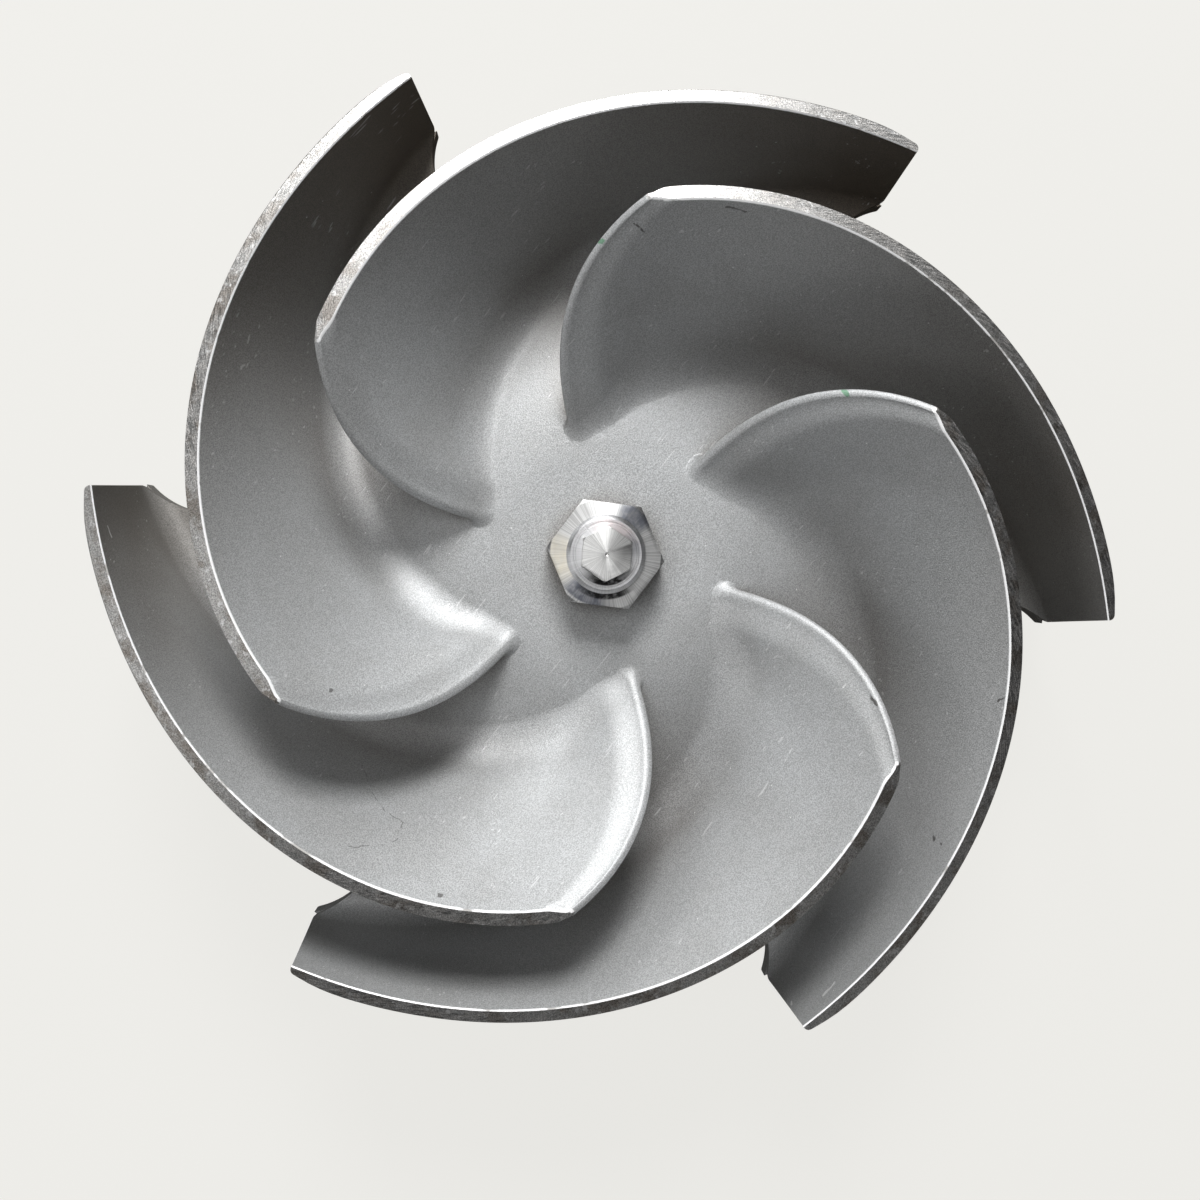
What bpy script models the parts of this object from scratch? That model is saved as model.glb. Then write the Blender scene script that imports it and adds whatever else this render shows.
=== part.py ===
"""Open pump impeller: one stainless steel casting with six backward-curved vanes. A hexagon impeller screw
holds it on its shaft, and a washer and a small lock bolt secure that screw.

Metres, +Z towards the eye. The origin is the centre of the hub's rear face, on the shaft axis, and the first
vane ends on +X.
"""

import math

import bmesh
import bpy
from mathutils import Matrix, Vector

# Driving dimensions of the casting. The vane radius is where the vanes' middle surface ends.
OUTER_RADIUS = 0.1975
TIP_RADIUS = 0.1971
VANE_RADIUS = 0.195
VANE_COUNT = 6
SHROUD_REAR_Z = 0.026
SHROUD_FRONT_Z = 0.035
NOSE_RISE = 0.0285
NOSE_FLAT_RADIUS = 0.2 * VANE_RADIUS
FLOOR_LEVEL_RADIUS = 0.85 * VANE_RADIUS
OUTLET_WIDTH = 0.069
FRONT_CONE_ANGLE = math.radians(15)

# The hub behind the shroud, with the bore for the shaft
BOSS_RADIUS = 0.043
BOSS_FILLET = 0.008
BOSS_CHAMFER = 0.0015
BORE_RADIUS = 0.0225
BORE_DEPTH = 0.050
BORE_CHAMFER = 0.001
KEYWAY_WIDTH = 0.014
KEYWAY_TOP = 0.0263
SHANK_HOLE_RADIUS = 0.0139

# The vane's middle surface: radii are shares of the vane radius, and angles are counted back from the tip
ROOT_START, ROOT_LINEAR, ROOT_SQUARE = 0.30, 0.3257, 0.3743
CORNER_RADIUS, FRONT_SAG = 0.6768, 0.1
ROOT_LEAD_ANGLE, LEAD_SWEEP = 112.8, 22.05
ROOT_TIP_ANGLE, FRONT_TIP_ANGLE = 4.7, 2.0
TIP_BEND = 2.2

# Near its leading edge the vane's root is drawn in towards the shaft and turned back by some degrees, and its
# fillet is smaller
LEAD_REACH, LEAD_DRAW, LEAD_TURN, LEAD_FILLET_SHARE = 0.25, 0.0055, 3.3, 0.42

# The vane's end: how far the first vane runs past the X axis at its front edge, and how much more per height
# below it, with the stations near it counted back as shares of the vane's length
END_SET, END_SLOPE = 0.00106, 0.057
END_STATIONS = (0.0, 0.006, 0.015, 0.035)

# The vane's section
ROOT_THICKNESS, FRONT_THICKNESS = 0.0088, 0.0055
LEAD_THICKNESS_SHARE = 0.42
ROOT_TAPER_LENGTH, FRONT_TAPER_LENGTH = 0.10, 0.035
ROOT_FILLET = 0.0095
FILLET_BITE = 0.0008
FILLET_REACH = 4 * ROOT_FILLET
ROOT_SINK = 0.005
STEEPEST = 0.5

# Stock left on the vanes' front edges, which turning takes off
FRONT_STOCK_SHARE = 0.05
CUT_OVER = 0.012

# The scallops cut in the shroud past each vane's tip: a round cut drawn out from a near to a far centre
SCALLOP_RADIUS = 0.035
SCALLOP_NEAR_RADIUS, SCALLOP_NEAR_ANGLE = 0.1772, math.radians(-10.3)
SCALLOP_FAR_RADIUS, SCALLOP_FAR_ANGLE = 0.1850, math.radians(-18.8)
SCALLOP_REAR_Z = 0.005
SCALLOP_FRONT_Z = SHROUD_FRONT_Z + ROOT_FILLET + 0.001

# The ribs on the shroud's rear face
RIB_WIDTH, RIB_HEIGHT = 0.007, 0.004
RIB_FROM, RIB_TO = 0.06, 0.965

# The impeller screw, its washer and the lock bolt. A turn is the direction of a hexagon's corner.
SCREW_ACROSS_FLATS, SCREW_HEAD_HEIGHT, SCREW_FACE_RADIUS = 0.041, 0.017, 0.0221
SCREW_TURN = 0.0
SCREW_SHANK_RADIUS, SCREW_SHANK_END_Z = 0.0135, 0.026
SCREW_HOLE_RADIUS = 0.0064
WASHER_RADIUS, WASHER_THICKNESS, WASHER_CHAMFER = 0.0157, 0.004, 0.0014
BOLT_ACROSS_FLATS, BOLT_HEAD_HEIGHT, BOLT_FACE_RADIUS = 0.019, 0.0078, 0.0104
BOLT_SHANK_RADIUS, BOLT_END_Z = 0.0060, 0.020
BOLT_TURN = math.radians(33)
CHAMFER_SLOPE = math.tan(math.radians(30))
CORNER_CLEARANCE = 0.002
SHANK_OVERLAP = 0.002
HOLE_OVER = 0.01
SEAT_GAP = 0.0003

# How finely curves are divided, and the step that slopes of the vane's middle surface are measured with
TURNED_STEPS = 72
CUTTER_STEPS = 48
SMALL_STEPS = 48
FLOOR_STEPS = 9
BOSS_FILLET_STEPS = 4
VANE_STATIONS = 16
TIP_CROWDING = 1.25
END_SEARCH_STEPS = 24
VANE_ROWS = 4
NOSE_STEPS = 4
FILLET_STEPS = 3
RIB_STEPS = 12
SLOPE_STEP = 0.002

NOSE_Z = SHROUD_FRONT_Z + NOSE_RISE
TIP_Z = SHROUD_FRONT_Z + OUTLET_WIDTH
PITCH = 2 * math.pi / VANE_COUNT


def blend(low, high, share):
    return low + (high - low) * share


def ease(share):
    """A share from 0 to 1 that starts and ends level."""
    share = min(max(share, 0.0), 1.0)
    return share * share * (3 - 2 * share)


# Surfaces of the casting


def floor_height(radius):
    """The hub's and shroud's front surface, which the water runs along."""
    out = (radius - NOSE_FLAT_RADIUS) / (FLOOR_LEVEL_RADIUS - NOSE_FLAT_RADIUS)
    out = min(max(out, 0.0), 1.0)
    return SHROUD_FRONT_Z + NOSE_RISE * (1 + math.cos(math.pi * out)) / 2


def front_height(radius):
    """The turned cone that the vanes' front edges lie on."""
    return TIP_Z + (VANE_RADIUS - radius) * math.tan(FRONT_CONE_ANGLE)


def root_radius(along):
    drawn = LEAD_DRAW * (1 - ease(along / LEAD_REACH))
    return VANE_RADIUS * (ROOT_START + ROOT_LINEAR * along + ROOT_SQUARE * along**2) - drawn


def root_fillet(along):
    return ROOT_FILLET * blend(LEAD_FILLET_SHARE, 1.0, ease(along / LEAD_REACH))


def front_radius(along):
    back = 1 - along
    return VANE_RADIUS * (1 - (1 - CORNER_RADIUS) * back - FRONT_SAG * back * along**3)


def camber(up, along):
    """A point of the vane's middle surface. up goes from 0 at the root to 1 at the front edge, and along goes
    from 0 at the leading edge to 1 at the tip."""
    lead = ROOT_LEAD_ANGLE - LEAD_SWEEP * up * abs(up)
    tip = blend(ROOT_TIP_ANGLE, FRONT_TIP_ANGLE, up)
    bend = TIP_BEND * (1 - up) * along**4 + LEAD_TURN * (1 - up) ** 2 * (1 - ease(along / LEAD_REACH))
    angle = math.radians(blend(lead, tip, along) - bend)
    radius = blend(root_radius(along), front_radius(along), up)
    root_z = floor_height(root_radius(along))
    height = blend(root_z, front_height(front_radius(along)), up)
    return Vector((radius * math.cos(angle), radius * math.sin(angle), height))


def outward_offset(up, along, thickness):
    """The level vector from the middle surface to the vane's convex face."""
    run = camber(up, along + SLOPE_STEP) - camber(up, along - SLOPE_STEP)
    rise = camber(up + SLOPE_STEP, along) - camber(up - SLOPE_STEP, along)
    normal = run.cross(rise).normalized()
    level = Vector((-run.y, run.x, 0)).normalized()
    return level * thickness / 2 / max(math.hypot(normal.x, normal.y), STEEPEST)


def vane_thickness(up, along):
    up = min(max(up, 0), 1)
    taper_length = blend(ROOT_TAPER_LENGTH, FRONT_TAPER_LENGTH, up)
    taper = blend(LEAD_THICKNESS_SHARE, 1.0, ease(along / taper_length))
    return blend(ROOT_THICKNESS, FRONT_THICKNESS, up) * taper


# Meshes


def new_object(name, mesh, collection):
    obj = bpy.data.objects.new(name, mesh)
    collection.objects.link(obj)
    return obj


def lofted(name, rings, collection):
    """A closed mesh through rings of equally many points. Point i of a ring faces point -1 - i across it."""
    count = len(rings[0])
    bm = bmesh.new()
    rows = [[bm.verts.new(point) for point in ring] for ring in rings]
    for low, high in zip(rows, rows[1:]):
        for i in range(count):
            j = (i + 1) % count
            bm.faces.new((low[i], low[j], high[j], high[i]))
    for row, turn in ((rows[0], -1), (rows[-1], 1)):
        for i in range(count // 2):
            face = [row[i], row[i + 1], row[count - 2 - i], row[count - 1 - i]]
            face = list(dict.fromkeys(face))
            if len(face) > 2:
                bm.faces.new(face[::turn])
    bmesh.ops.recalc_face_normals(bm, faces=bm.faces)
    mesh = bpy.data.meshes.new(name)
    bm.to_mesh(mesh)
    bm.free()
    return new_object(name, mesh, collection)


def turned(name, profile, collection, steps=TURNED_STEPS, closed=True):
    """A turned shape. The profile's (radius, z) points run down its outer side."""
    mesh = bpy.data.meshes.new(name)
    edges = [(i, i + 1) for i in range(len(profile) - 1)]
    if closed:
        edges.append((len(profile) - 1, 0))
    mesh.from_pydata([(radius, 0, z) for radius, z in profile], edges, [])
    obj = new_object(name, mesh, collection)
    screw = obj.modifiers.new("turn", "SCREW")
    screw.axis = "Z"
    screw.steps = screw.render_steps = steps
    screw.use_merge_vertices = True
    screw.merge_threshold = 0.00001
    return obj


def cylinder(name, radius, low, high, collection, steps=SMALL_STEPS, centre=(0, 0)):
    bm = bmesh.new()
    depth = high - low
    bmesh.ops.create_cone(bm, cap_ends=True, segments=steps, radius1=radius, radius2=radius, depth=depth)
    mesh = bpy.data.meshes.new(name)
    bm.to_mesh(mesh)
    bm.free()
    obj = new_object(name, mesh, collection)
    obj.location = (centre[0], centre[1], (low + high) / 2)
    return obj


def combine(obj, other, operation):
    boolean = obj.modifiers.new(operation.lower(), "BOOLEAN")
    boolean.operation = operation
    boolean.object = other
    boolean.solver = "EXACT"


def as_helper(obj):
    obj.hide_render = True
    obj.display_type = "WIRE"
    return obj


# The casting


def section(heights, widening, along):
    """The vane's middle point at one station, and the level vector from it to the convex face."""
    up = heights(along)
    offset = outward_offset(up, along, vane_thickness(up, along))
    return camber(up, along), offset + offset.normalized() * widening * root_fillet(along)


def vane_end(heights, widening):
    """The station at which the concave face reaches the vane's end."""
    short, long = 0.85, 1.15
    for _ in range(END_SEARCH_STEPS):
        along = (short + long) / 2
        middle, offset = section(heights, widening, along)
        end = -END_SET - END_SLOPE * (TIP_Z - middle.z)
        short, long = (along, long) if middle.y - offset.y > end else (short, along)
    return along


def vane_ring(heights, widening, vane):
    """The closed outline round a vane at one level. heights(along) gives the share up there, and widening is
    the share of the root fillet that stands out on each side. Near the root each point follows the floor."""
    last = vane_end(heights, widening)
    inner, outer = [], []
    stations = [1 - back for back in END_STATIONS]
    stations += [(1 - i / (VANE_STATIONS - 1)) ** TIP_CROWDING for i in range(1, VANE_STATIONS)]
    for station in stations:
        middle, offset = section(heights, widening, last * station)
        outside = middle + offset
        outside.xy *= min(1, TIP_RADIUS / outside.xy.length)
        inner.append((middle - offset, middle))
        outer.append((outside, middle))
    ahead = Vector((-offset.y, offset.x, 0))
    nose = []
    for i in range(1, NOSE_STEPS):
        turn = math.pi * i / NOSE_STEPS
        nose.append((middle - offset * math.cos(turn) + ahead * math.sin(turn), middle))
    points = []
    spin = Matrix.Rotation(vane * PITCH, 3, "Z")
    for point, centre in inner + nose + outer[::-1]:
        floor_z = floor_height(centre.xy.length)
        fade = 1 - ease((centre.z - floor_z) / FILLET_REACH)
        point.z += fade * (floor_height(point.xy.length) - floor_z)
        points.append(spin @ point)
    return points


def at_fillet(part, more=0.0):
    """Shares up at this part of the root fillet's height over the vane's root, and this much more."""

    def share(along):
        rise = front_height(front_radius(along)) - floor_height(root_radius(along))
        return (part * root_fillet(along) + more) / rise

    return share


def at_share(part):
    """Shares up that go evenly from the fillet's top to the stock over the front edge."""
    low = at_fillet(1)

    def share(along):
        return blend(low(along), 1 + FRONT_STOCK_SHARE, part)

    return share


def make_vane(vane, collection):
    rings = [vane_ring(at_fillet(0, -ROOT_SINK), 1, vane), vane_ring(at_fillet(0, -FILLET_BITE), 1, vane)]
    for i in range(1, FILLET_STEPS + 1):
        turn = math.pi / 2 * i / FILLET_STEPS
        rings.append(vane_ring(at_fillet(1 - math.cos(turn)), 1 - math.sin(turn), vane))
    for i in range(1, VANE_ROWS + 1):
        rings.append(vane_ring(at_share(i / VANE_ROWS), 0, vane))
    return lofted(f"vane_{vane + 1}", rings, collection)


def make_rib(vane, collection):
    """A rib behind each vane's root, on the shroud's rear face."""
    spin = Matrix.Rotation(vane * PITCH, 3, "Z")
    inner, outer = [], []
    for i in range(RIB_STEPS + 1):
        along = blend(RIB_FROM, RIB_TO, i / RIB_STEPS)
        middle = camber(0, along)
        run = camber(0, along + SLOPE_STEP) - camber(0, along - SLOPE_STEP)
        side = Vector((-run.y, run.x, 0)).normalized() * RIB_WIDTH / 2
        inner.append(spin @ (middle - side))
        outer.append(spin @ (middle + side))
    outline = inner + outer[::-1]
    levels = (SHROUD_REAR_Z - RIB_HEIGHT, SHROUD_REAR_Z + RIB_HEIGHT)
    rings = [[Vector((point.x, point.y, z)) for point in outline] for z in levels]
    return lofted(f"rib_{vane + 1}", rings, collection)


def hub_profile():
    """The hub and shroud: from the shank hole out along the floor, round the rim and back by the boss."""
    points = [(SHANK_HOLE_RADIUS, NOSE_Z)]
    for i in range(FLOOR_STEPS + 1):
        radius = blend(NOSE_FLAT_RADIUS, FLOOR_LEVEL_RADIUS, i / FLOOR_STEPS)
        points.append((radius, floor_height(radius)))
    points += [(OUTER_RADIUS, SHROUD_FRONT_Z), (OUTER_RADIUS, SHROUD_REAR_Z)]
    for i in range(BOSS_FILLET_STEPS + 1):
        turn = math.pi / 2 * i / BOSS_FILLET_STEPS
        radius = BOSS_RADIUS + BOSS_FILLET * (1 - math.sin(turn))
        points.append((radius, SHROUD_REAR_Z - BOSS_FILLET * (1 - math.cos(turn))))
    points += [(BOSS_RADIUS, BOSS_CHAMFER), (BOSS_RADIUS - BOSS_CHAMFER, 0)]
    points += [(BORE_RADIUS + BORE_CHAMFER, 0), (BORE_RADIUS, BORE_CHAMFER), (BORE_RADIUS, BORE_DEPTH)]
    points += [(SHANK_HOLE_RADIUS, BORE_DEPTH)]
    return points


def make_scallop(vane, collection):
    """The cutter of a scallop: a cylinder whose far half is moved out to the far centre."""
    turn = vane * PITCH
    near = Matrix.Rotation(turn + SCALLOP_NEAR_ANGLE, 3, "Z") @ Vector((SCALLOP_NEAR_RADIUS, 0, 0))
    far = Matrix.Rotation(turn + SCALLOP_FAR_ANGLE, 3, "Z") @ Vector((SCALLOP_FAR_RADIUS, 0, 0))
    levels = (SCALLOP_REAR_Z, SCALLOP_FRONT_Z)
    cutter = cylinder(f"scallop_{vane + 1}", SCALLOP_RADIUS, *levels, collection, CUTTER_STEPS, near.xy)
    for vertex in cutter.data.vertices:
        if vertex.co.dot(far - near) > 0:
            vertex.co += far - near
    return cutter


def make_keyway(collection):
    bm = bmesh.new()
    bmesh.ops.create_cube(bm, size=1)
    mesh = bpy.data.meshes.new("keyway")
    bm.to_mesh(mesh)
    bm.free()
    keyway = new_object("keyway", mesh, collection)
    keyway.scale = (KEYWAY_TOP, KEYWAY_WIDTH, BORE_DEPTH + CUT_OVER)
    keyway.location = (KEYWAY_TOP / 2, 0, (BORE_DEPTH - CUT_OVER) / 2)
    return keyway


def make_casting(parts, helpers):
    casting = turned("impeller_casting", hub_profile(), parts)
    for vane in range(VANE_COUNT):
        combine(casting, as_helper(make_vane(vane, helpers)), "UNION")
        combine(casting, as_helper(make_rib(vane, helpers)), "UNION")
    clear = OUTER_RADIUS + CUT_OVER
    envelope = [(0, front_height(0)), (clear, front_height(clear)), (clear, -CUT_OVER), (0, -CUT_OVER)]
    stock_cutter = turned("turning_envelope", envelope, helpers, closed=False)
    combine(casting, as_helper(stock_cutter), "INTERSECT")
    for vane in range(VANE_COUNT):
        combine(casting, as_helper(make_scallop(vane, helpers)), "DIFFERENCE")
    combine(casting, as_helper(make_keyway(helpers)), "DIFFERENCE")
    return casting


# The fasteners


def hexagon(name, across_flats, low, high, face_radius, turn, parts, helpers):
    """A hexagon head with a corner at this turn. A 30 degree chamfer takes off its front corners."""
    corner = across_flats / math.sqrt(3)
    head = cylinder(name, corner, low, high, parts, steps=6)
    head.rotation_euler.z = turn - math.pi / 6
    clear = corner + CORNER_CLEARANCE
    drop = (clear - face_radius) * CHAMFER_SLOPE
    top = high + 0.00001
    bottom = low - HOLE_OVER
    outline = [(0, top), (face_radius, top), (clear, high - drop), (clear, bottom), (0, bottom)]
    guard = turned(name + "_chamfer", outline, helpers, steps=SMALL_STEPS, closed=False)
    combine(head, as_helper(guard), "INTERSECT")
    return head


def make_screw(parts, helpers):
    low = NOSE_Z + SEAT_GAP
    high = low + SCREW_HEAD_HEIGHT
    sizes = (SCREW_ACROSS_FLATS, low, high, SCREW_FACE_RADIUS, SCREW_TURN)
    screw = hexagon("impeller_screw", *sizes, parts, helpers)
    shank = cylinder("screw_shank", SCREW_SHANK_RADIUS, SCREW_SHANK_END_Z, low + SHANK_OVERLAP, helpers)
    hole_ends = (SCREW_SHANK_END_Z - HOLE_OVER, high + HOLE_OVER)
    hole = cylinder("screw_hole", SCREW_HOLE_RADIUS, *hole_ends, helpers)
    combine(screw, as_helper(shank), "UNION")
    combine(screw, as_helper(hole), "DIFFERENCE")
    return screw, high


def make_washer(low, parts):
    high = low + WASHER_THICKNESS
    profile = [(SCREW_HOLE_RADIUS, high), (WASHER_RADIUS - WASHER_CHAMFER, high)]
    profile += [(WASHER_RADIUS, high - WASHER_CHAMFER), (WASHER_RADIUS, low), (SCREW_HOLE_RADIUS, low)]
    return turned("lock_washer", profile, parts, steps=SMALL_STEPS), high


def make_bolt(low, parts, helpers):
    high = low + BOLT_HEAD_HEIGHT
    bolt = hexagon("lock_bolt", BOLT_ACROSS_FLATS, low, high, BOLT_FACE_RADIUS, BOLT_TURN, parts, helpers)
    shank = cylinder("bolt_shank", BOLT_SHANK_RADIUS, BOLT_END_Z, low + SHANK_OVERLAP, helpers)
    combine(bolt, as_helper(shank), "UNION")
    return bolt


def material(name, colour, roughness):
    made = bpy.data.materials.new(name)
    made.use_nodes = True
    shader = made.node_tree.nodes["Principled BSDF"]
    shader.inputs["Base Color"].default_value = (*colour, 1)
    shader.inputs["Roughness"].default_value = roughness
    shader.inputs["Metallic"].default_value = 1.0
    return made


def main():
    for obj in list(bpy.data.objects):
        bpy.data.objects.remove(obj, do_unlink=True)
    parts = bpy.data.collections.new("pump_impeller")
    helpers = bpy.data.collections.new("cutters")
    for collection in (parts, helpers):
        bpy.context.scene.collection.children.link(collection)
    blasted = material("blasted_cast_steel", (0.50, 0.50, 0.49), 0.48)
    bright = material("bright_turned_steel", (0.68, 0.68, 0.67), 0.22)
    casting = make_casting(parts, helpers)
    screw, head_top = make_screw(parts, helpers)
    washer, washer_top = make_washer(head_top + SEAT_GAP, parts)
    bolt = make_bolt(washer_top + SEAT_GAP, parts, helpers)
    for obj, finish in ((casting, blasted), (screw, bright), (washer, bright), (bolt, bright)):
        obj.data.materials.append(finish)


main()
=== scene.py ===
"""An open pump impeller of cast stainless steel, with its impeller screw, washer and lock bolt.

Metres, +Z towards the eye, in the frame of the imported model. The photograph looks down the shaft axis.
"""

import math

import bpy
import numpy as np
from mathutils import Matrix, Vector


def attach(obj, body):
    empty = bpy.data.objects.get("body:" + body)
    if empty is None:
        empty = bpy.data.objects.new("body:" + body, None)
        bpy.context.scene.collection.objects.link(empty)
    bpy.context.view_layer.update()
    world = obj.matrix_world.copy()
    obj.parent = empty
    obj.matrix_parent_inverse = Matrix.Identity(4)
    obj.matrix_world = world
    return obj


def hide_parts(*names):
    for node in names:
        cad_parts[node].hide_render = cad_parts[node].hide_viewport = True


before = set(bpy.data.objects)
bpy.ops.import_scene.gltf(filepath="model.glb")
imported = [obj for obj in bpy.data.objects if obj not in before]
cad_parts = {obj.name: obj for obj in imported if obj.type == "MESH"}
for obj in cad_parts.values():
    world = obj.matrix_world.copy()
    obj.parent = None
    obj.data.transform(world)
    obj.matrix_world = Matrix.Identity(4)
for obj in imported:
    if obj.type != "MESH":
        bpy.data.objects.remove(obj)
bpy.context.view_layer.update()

bpy.ops.object.select_all(action="DESELECT")


# The hub and shroud
# The hub is the core of the casting: a domed nose that runs out into a flat rear shroud, with a bored boss
# behind it. It is cast in stainless steel and bead blasted, and its rim, boss and bore are turned.

OUTER_RADIUS = 0.1975
VANE_RADIUS = 0.195
SHROUD_REAR_Z, SHROUD_FRONT_Z = 0.026, 0.035
NOSE_RISE = 0.0285
NOSE_Z = SHROUD_FRONT_Z + NOSE_RISE
NOSE_FLAT_RADIUS = 0.2 * VANE_RADIUS
FLOOR_LEVEL_RADIUS = 0.85 * VANE_RADIUS
BOSS_RADIUS, BOSS_FILLET, BOSS_CHAMFER = 0.043, 0.008, 0.0015
BORE_RADIUS, BORE_DEPTH, BORE_CHAMFER = 0.0225, 0.050, 0.001
SHANK_HOLE_RADIUS, SHANK_HOLE_CHAMFER = 0.0139, 0.0008
RIM_CHAMFER = 0.0006
FLOOR_POINTS, REAR_POINTS, BOSS_FILLET_POINTS = 74, 14, 8
TURNED_STEPS = 288
MERGE = 0.000005


def floor_height(radius):
    """The front surface of the hub and shroud."""
    out = np.clip((radius - NOSE_FLAT_RADIUS) / (FLOOR_LEVEL_RADIUS - NOSE_FLAT_RADIUS), 0, 1)
    return SHROUD_FRONT_Z + NOSE_RISE * (1 + np.cos(np.pi * out)) / 2


def turned(name, profile, steps):
    """A piece turned round the shaft axis from a closed profile of (radius, z) points."""
    bpy.ops.mesh.primitive_circle_add(vertices=len(profile), radius=1)
    piece = bpy.context.object
    piece.name = piece.data.name = name
    points = np.array([(radius, 0, z) for radius, z in profile], np.float32)
    piece.data.vertices.foreach_set("co", points.ravel())
    bpy.ops.object.mode_set(mode="EDIT")
    bpy.ops.mesh.select_all(action="SELECT")
    bpy.ops.mesh.spin(steps=steps, angle=2 * math.pi, center=(0, 0, 0), axis=(0, 0, 1))
    bpy.ops.mesh.select_all(action="SELECT")
    bpy.ops.mesh.remove_doubles(threshold=MERGE)
    bpy.ops.mesh.normals_make_consistent(inside=False)
    bpy.ops.object.mode_set(mode="OBJECT")
    bpy.ops.object.select_all(action="DESELECT")
    return piece


hub_profile = [(SHANK_HOLE_RADIUS, NOSE_Z - SHANK_HOLE_CHAMFER)]
hub_profile.append((SHANK_HOLE_RADIUS + SHANK_HOLE_CHAMFER, NOSE_Z))
for radius in np.linspace(NOSE_FLAT_RADIUS, OUTER_RADIUS - RIM_CHAMFER, FLOOR_POINTS):
    hub_profile.append((radius, floor_height(radius)))
hub_profile += [(OUTER_RADIUS, SHROUD_FRONT_Z - RIM_CHAMFER), (OUTER_RADIUS, SHROUD_REAR_Z + RIM_CHAMFER)]
for radius in np.linspace(OUTER_RADIUS - RIM_CHAMFER, BOSS_RADIUS + BOSS_FILLET, REAR_POINTS):
    hub_profile.append((radius, SHROUD_REAR_Z))
for turn in np.linspace(0, math.pi / 2, BOSS_FILLET_POINTS)[1:]:
    across, down = BOSS_FILLET * (1 - math.sin(turn)), BOSS_FILLET * (1 - math.cos(turn))
    hub_profile.append((BOSS_RADIUS + across, SHROUD_REAR_Z - down))
hub_profile += [(BOSS_RADIUS, BOSS_CHAMFER), (BOSS_RADIUS - BOSS_CHAMFER, 0)]
hub_profile += [(BORE_RADIUS + BORE_CHAMFER, 0), (BORE_RADIUS, BORE_CHAMFER)]
hub_profile += [(BORE_RADIUS, BORE_DEPTH), (SHANK_HOLE_RADIUS, BORE_DEPTH)]
casting = turned("impeller", hub_profile, TURNED_STEPS)


# The vanes
# Six backward-curved vanes stand on the shroud, cast in one piece with it. Each is a doubly curved blade
# with a round leading edge and a root fillet, turned off square along its front edge and at its tip.

VANE_COUNT = 6
PITCH = 2 * math.pi / VANE_COUNT
TIP_Z = 0.104
FRONT_SLOPE = math.tan(math.radians(15))
ROOT_START, ROOT_LINEAR, ROOT_SQUARE = 0.30, 0.3257, 0.3743
CORNER_RADIUS, FRONT_SAG = 0.6768, 0.1
ROOT_LEAD_ANGLE, LEAD_SWEEP = 112.8, 22.05
ROOT_TIP_ANGLE, FRONT_TIP_ANGLE = 4.7, 2.0
TIP_BEND = 2.2
ROOT_THICKNESS, FRONT_THICKNESS = 0.0088, 0.0055
LEAD_REACH, LEAD_DRAW, LEAD_TURN, LEAD_FILLET_SHARE = 0.25, 0.0055, 3.3, 0.42
LEAD_THICKNESS_SHARE = 0.42
ROOT_TAPER_LENGTH, FRONT_TAPER_LENGTH = 0.10, 0.035
ROOT_FILLET = 0.0095
FILLET_REACH = 4 * ROOT_FILLET
FOOT_BITE, FOOT_SINK = 0.00006, 0.005
EDGE_BREAK = 0.00045
TIP_RADIUS, TIP_ROUNDING = 0.1971, 0.0013
END_SET, END_SLOPE, END_LENGTH = 0.00106, 0.057, 0.010
STEEPEST = 0.5
SLOPE_STEP = 0.002
TIP_CROWDING = 1.25
SIDE_POINTS, END_POINTS, LEAD_POINTS = 84, 9, 11
FILLET_ROWS, BODY_ROWS = 9, 22
END_SEARCH = np.linspace(0.85, 1.15, 160)
CONE_SEARCH_STEP, CONE_SEARCHES = 0.01, 6

# Stations along a blade as shares of its length, close together at its rounded end
end_stations = 1 - END_LENGTH * (1 - np.cos(np.linspace(0, math.pi / 2, END_POINTS)))
side_stations = np.linspace(end_stations[-1] ** (1 / TIP_CROWDING), 0, SIDE_POINTS)[1:] ** TIP_CROWDING
STATIONS = np.concatenate([end_stations, side_stations])


def front_height(radius):
    """The cone that the vanes' front edges are turned to."""
    return TIP_Z + (VANE_RADIUS - radius) * FRONT_SLOPE


def ease(share):
    """A share from 0 to 1 that starts and ends gently."""
    share = np.clip(share, 0, 1)
    return share * share * (3 - 2 * share)


def root_radius(along):
    drawn = LEAD_DRAW * (1 - ease(along / LEAD_REACH))
    return VANE_RADIUS * (ROOT_START + ROOT_LINEAR * along + ROOT_SQUARE * along**2) - drawn


def root_fillet(along):
    return ROOT_FILLET * (LEAD_FILLET_SHARE + (1 - LEAD_FILLET_SHARE) * ease(along / LEAD_REACH))


def front_radius(along):
    back = 1 - along
    return VANE_RADIUS * (1 - (1 - CORNER_RADIUS) * back - FRONT_SAG * back * along**3)


def camber(up, along):
    """The blade's middle surface: up from root (0) to front (1), along from leading edge (0) to tip (1)."""
    lead = ROOT_LEAD_ANGLE - LEAD_SWEEP * up * np.abs(up)
    tip = ROOT_TIP_ANGLE + (FRONT_TIP_ANGLE - ROOT_TIP_ANGLE) * up
    bend = TIP_BEND * (1 - up) * along**4 + LEAD_TURN * (1 - up) ** 2 * (1 - ease(along / LEAD_REACH))
    angle = np.radians(lead + (tip - lead) * along - bend)
    root, front = root_radius(along), front_radius(along)
    radius = root + (front - root) * up
    height = floor_height(root) + (front_height(front) - floor_height(root)) * up
    return np.stack([radius * np.cos(angle), radius * np.sin(angle), height], axis=-1)


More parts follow.
